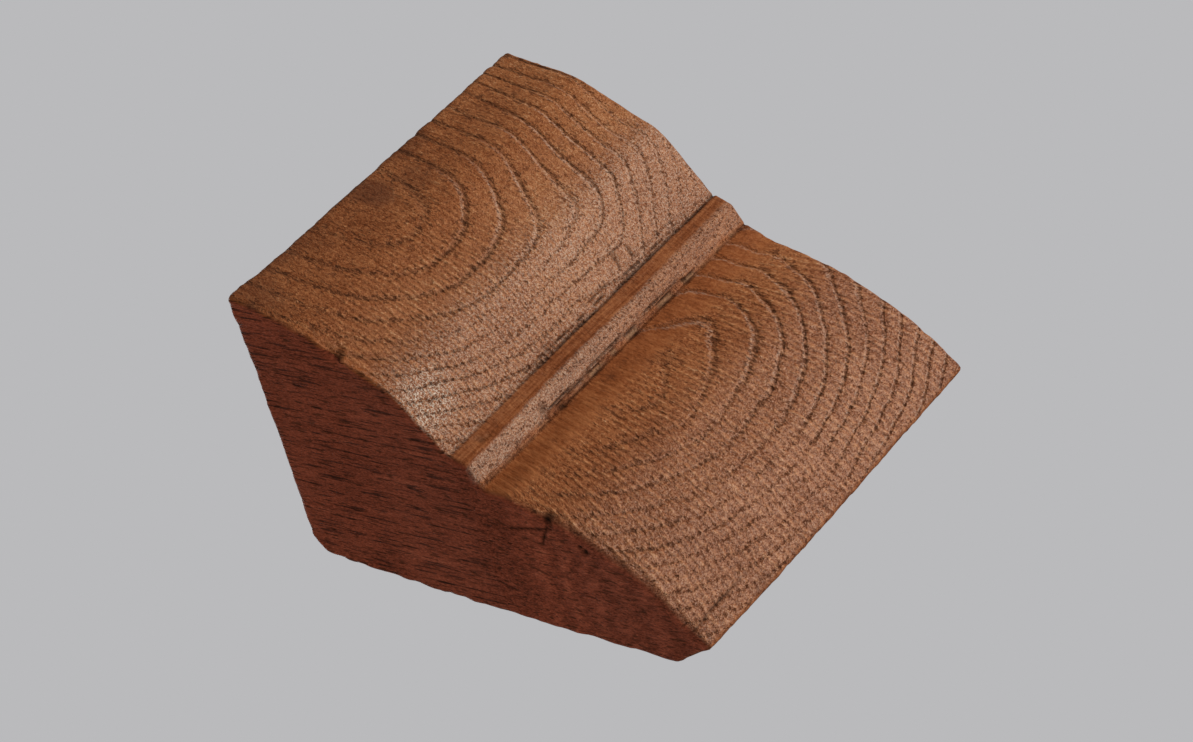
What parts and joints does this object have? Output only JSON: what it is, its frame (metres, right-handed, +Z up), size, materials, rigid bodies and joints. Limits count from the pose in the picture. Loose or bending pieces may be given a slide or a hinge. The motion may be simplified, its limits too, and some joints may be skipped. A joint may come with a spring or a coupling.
{
  "type": "corbel bracket",
  "caption": "Carved timber corbel bracket with a flat back for a wall and a flat top that carries a shelf or mantel, its front moulded with two swept lobes and a bead between them.",
  "frame": {"origin": "middle of the flat wall face at the back", "axes": "+Z up as mounted, +Y out of the back into the wall, so the moulded front faces -Y, +X along the wall"},
  "size_m": [0.152, 0.1096, 0.1709],
  "materials": {
    "stained_timber": "satin"
  },
  "bodies": {
    "root": {"corbel": "stained_timber"}
  },
  "joints": []
}
